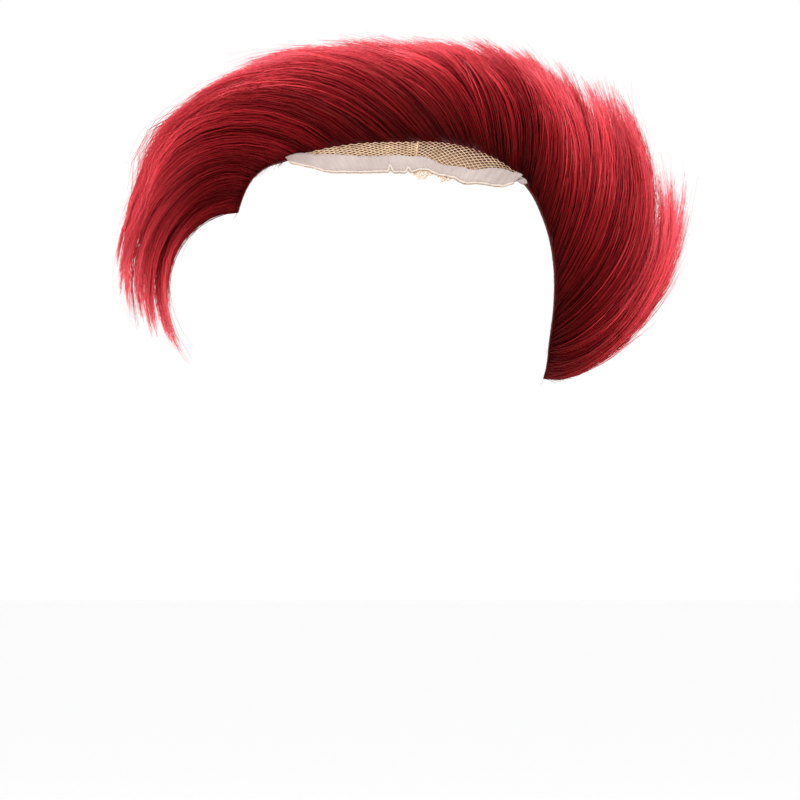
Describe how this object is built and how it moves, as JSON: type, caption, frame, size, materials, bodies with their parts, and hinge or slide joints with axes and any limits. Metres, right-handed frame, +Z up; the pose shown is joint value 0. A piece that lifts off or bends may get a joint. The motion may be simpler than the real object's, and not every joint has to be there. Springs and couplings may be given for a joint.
{
  "type": "mohawk wig",
  "caption": "Red forward-swept mohawk wig: a crest of hair rows sewn to a strip-shaped cap, with open net side wings edged in white binding tape.",
  "frame": {"origin": "where the top of the head touches the inside of the cap, on the midline", "axes": "+Z up, -Y the way the face looks, +X towards the wearer's left"},
  "size_m": [0.1352, 0.3293, 0.2007],
  "materials": {
    "hair": "glossy synthetic hair, near black red at the roots and bright red at the tips",
    "net": "beige knitted net of fine threads",
    "tape": "thin whitish binding tape with a soft sheen and a cream rolled edge"
  },
  "bodies": {
    "root": {"weft_panel": "net", "side_net_left": "net", "side_net_right": "net", "edge_tape_left": "tape", "edge_tape_right": "tape", "hair_fringe": "hair", "hair_crest": "hair", "hair_nape": "hair"}
  },
  "joints": []
}
